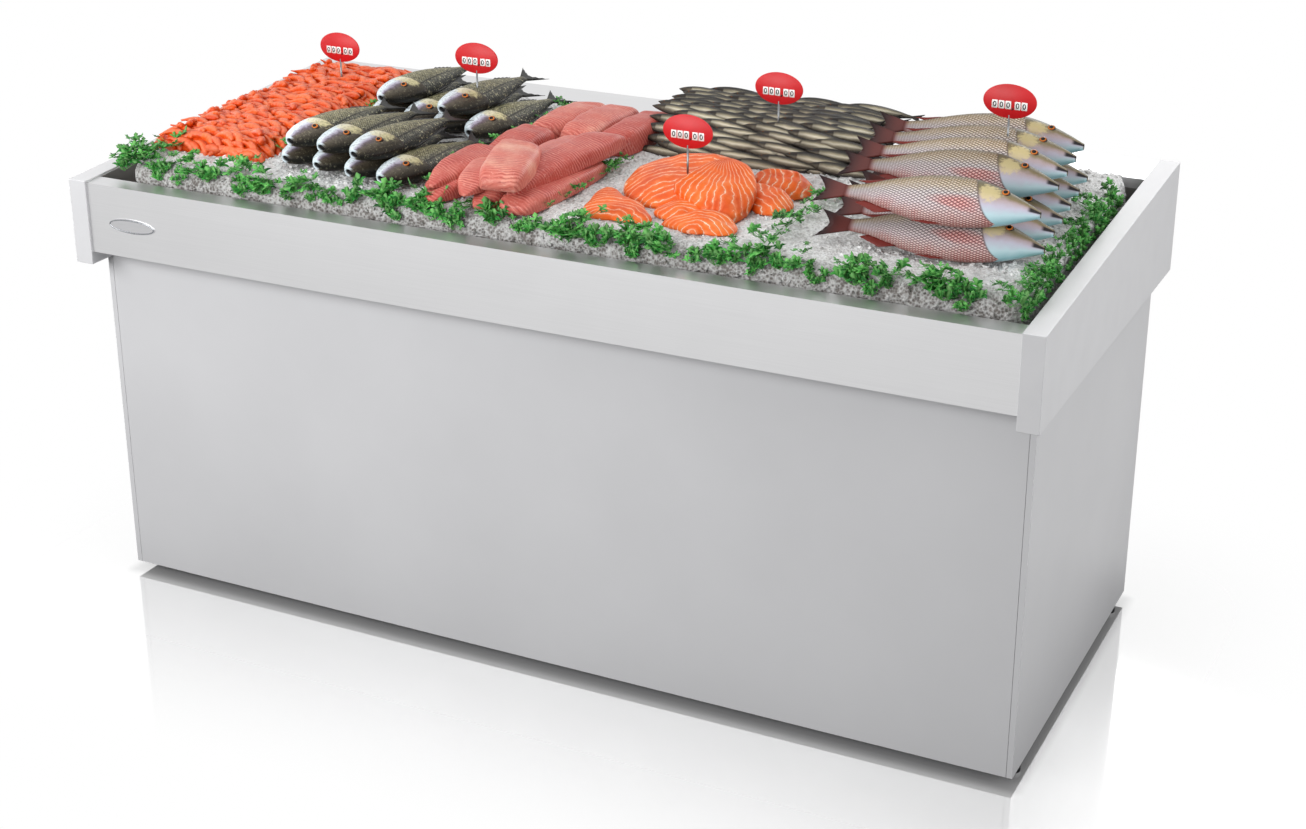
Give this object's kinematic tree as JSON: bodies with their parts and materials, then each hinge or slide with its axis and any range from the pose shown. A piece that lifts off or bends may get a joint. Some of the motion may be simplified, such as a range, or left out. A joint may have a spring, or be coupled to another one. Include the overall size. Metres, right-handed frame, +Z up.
{
  "type": "refrigerated fish counter",
  "caption": "Long chilled display counter with an ice-filled well set with seafood and price tags, on a panelled base that houses its condensing unit behind a rear service door.",
  "frame": {"origin": "on the floor, below the middle of the counter's length and depth", "axes": "+X along the counter to the right as a customer faces it, +Y from the customers' side to the staff side, +Z up"},
  "size_m": [2, 0.92, 1.164],
  "materials": {
    "panel_steel": "light grey satin coat",
    "fascia_steel": "satin stainless steel",
    "end_panel_plastic": "light grey satin moulding",
    "tub_steel": "satin stainless steel",
    "frame_steel": "dark grey coat",
    "plate_metal": "satin, left blank",
    "foam": "closed-cell foam",
    "zinc": "zinc-plated",
    "copper": "bare copper tube",
    "white_plastic": "moulded",
    "black_plastic": "moulded",
    "red_plastic": "moulded",
    "display_glass": "dark window",
    "compressor_paint": "black enamel",
    "fin_metal": "finned coil",
    "rubber_black": "moulded",
    "valve_brass": "machined",
    "ice": "crushed ice",
    "prawn": "cooked prawns",
    "bass": "wet skin",
    "loin": "fresh flesh",
    "salmon": "fresh flesh",
    "sardine": "wet skin",
    "snapper": "wet skin",
    "tag_red": "moulded, blank"
  },
  "bodies": {
    "counter": {"base_frame": "frame_steel", "front_panel": "panel_steel", "left_side_panel": "panel_steel", "right_side_panel": "panel_steel", "rear_panel": "panel_steel", "floor_pan": "zinc", "door_hinges": "zinc", "hinge_pins": "zinc", "left_end_panel": "end_panel_plastic", "right_end_panel": "end_panel_plastic", "front_fascia": "fascia_steel", "rear_fascia": "fascia_steel", "nameplate": "plate_metal", "tub_liner": "tub_steel", "tub_insulation": "foam", "tub_underpan": "zinc", "evaporator_coil": "copper", "deck_rails": "tub_steel", "drain_fitting": "white_plastic", "drain_pipe": "white_plastic", "drain_valve": "valve_brass", "unit_tray": "frame_steel", "compressor_grommets": "rubber_black", "compressor": "compressor_paint", "condenser": "fin_metal", "fan_shroud": "frame_steel", "fan_motor": "zinc", "filter_drier": "copper", "refrigerant_pipes": "copper", "electrical_box": "white_plastic", "controller_housing": "black_plastic", "controller_display": "display_glass", "switch_frame": "black_plastic", "cable_gland": "black_plastic", "panel_screws": "zinc"},
    "service_door": {"service_door": "panel_steel"},
    "door_latch": {"door_latch": "black_plastic"},
    "fan_rotor": {"fan_rotor": "black_plastic"},
    "drain_lever": {"drain_lever": "red_plastic"},
    "main_rocker": {"main_rocker": "red_plastic"},
    "set_button": {"set_button": "white_plastic"},
    "up_button": {"up_button": "white_plastic"},
    "down_button": {"down_button": "white_plastic"},
    "front_left_foot": {"front_left_foot": "black_plastic"},
    "rear_left_foot": {"rear_left_foot": "black_plastic"},
    "front_right_foot": {"front_right_foot": "black_plastic"},
    "rear_right_foot": {"rear_right_foot": "black_plastic"},
    "deck": {"deck_panels": "tub_steel"},
    "load": {"ice_bed": "ice", "prawn_bed": "prawn", "sea_bass": "bass", "loins": "loin", "salmon_fillets": "salmon", "sardines": "sardine", "snappers": "snapper"},
    "prawn_tag": {"prawn_tag": "tag_red"},
    "bass_tag": {"bass_tag": "tag_red"},
    "salmon_tag": {"salmon_tag": "tag_red"},
    "sardine_tag": {"sardine_tag": "tag_red"},
    "snapper_tag": {"snapper_tag": "tag_red"}
  },
  "joints": [
    {"name": "door_hinge", "type": "hinge", "parent": "counter", "child": "service_door", "pos_m": [0.9235, 0.4095, 0.36], "axis": [0, 0, -1], "range_deg": [0, 110]},
    {"name": "latch_turn", "type": "hinge", "parent": "service_door", "child": "door_latch", "pos_m": [0.369, 0.4, 0.36], "axis": [0, -1, 0], "range_deg": [0, 90]},
    {"name": "fan_spin", "type": "hinge", "parent": "counter", "child": "fan_rotor", "pos_m": [0.67, 0.249, 0.228], "axis": [0, 1, 0], "continuous": true},
    {"name": "drain_lever_turn", "type": "hinge", "parent": "counter", "child": "drain_lever", "pos_m": [0.3433, 0.3575, 0.13], "axis": [1, 0, 0], "range_deg": [0, 90]},
    {"name": "main_rocker_tilt", "type": "hinge", "parent": "counter", "child": "main_rocker", "pos_m": [0.04, 0.404, 0.65], "axis": [-1, 0, 0], "range_deg": [0, 16]},
    {"name": "set_button_press", "type": "slide", "parent": "counter", "child": "set_button", "axis": [0, -1, 0], "range_m": [0, 0.0012], "stiffness_N_per_m": 200},
    {"name": "up_button_press", "type": "slide", "parent": "counter", "child": "up_button", "axis": [0, -1, 0], "range_m": [0, 0.0012], "stiffness_N_per_m": 200},
    {"name": "down_button_press", "type": "slide", "parent": "counter", "child": "down_button", "axis": [0, -1, 0], "range_m": [0, 0.0012], "stiffness_N_per_m": 200},
    {"name": "front_left_foot_turn", "type": "hinge", "parent": "counter", "child": "front_left_foot", "pos_m": [-0.9615, -0.3295, 0.02], "axis": [0, 0, 1], "continuous": true},
    {"name": "rear_left_foot_turn", "type": "hinge", "parent": "counter", "child": "rear_left_foot", "pos_m": [-0.9615, 0.3415, 0.02], "axis": [0, 0, 1], "continuous": true},
    {"name": "front_right_foot_turn", "type": "hinge", "parent": "counter", "child": "front_right_foot", "pos_m": [0.9615, -0.3295, 0.02], "axis": [0, 0, 1], "continuous": true},
    {"name": "rear_right_foot_turn", "type": "hinge", "parent": "counter", "child": "rear_right_foot", "pos_m": [0.9615, 0.3415, 0.02], "axis": [0, 0, 1], "continuous": true},
    {"name": "deck_lift", "type": "slide", "parent": "counter", "child": "deck", "axis": [0, 0, 1], "range_m": [0, 0.25]},
    {"name": "load_lift", "type": "slide", "parent": "deck", "child": "load", "axis": [0, 0, 1], "range_m": [0, 0.2]},
    {"name": "prawn_tag_pull", "type": "slide", "parent": "load", "child": "prawn_tag", "axis": [0, 0, 1], "range_m": [0, 0.08]},
    {"name": "bass_tag_pull", "type": "slide", "parent": "load", "child": "bass_tag", "axis": [0, 0, 1], "range_m": [0, 0.08]},
    {"name": "salmon_tag_pull", "type": "slide", "parent": "load", "child": "salmon_tag", "axis": [0, 0, 1], "range_m": [0, 0.08]},
    {"name": "sardine_tag_pull", "type": "slide", "parent": "load", "child": "sardine_tag", "axis": [0, 0, 1], "range_m": [0, 0.08]},
    {"name": "snapper_tag_pull", "type": "slide", "parent": "load", "child": "snapper_tag", "axis": [0, 0, 1], "range_m": [0, 0.08]}
  ]
}
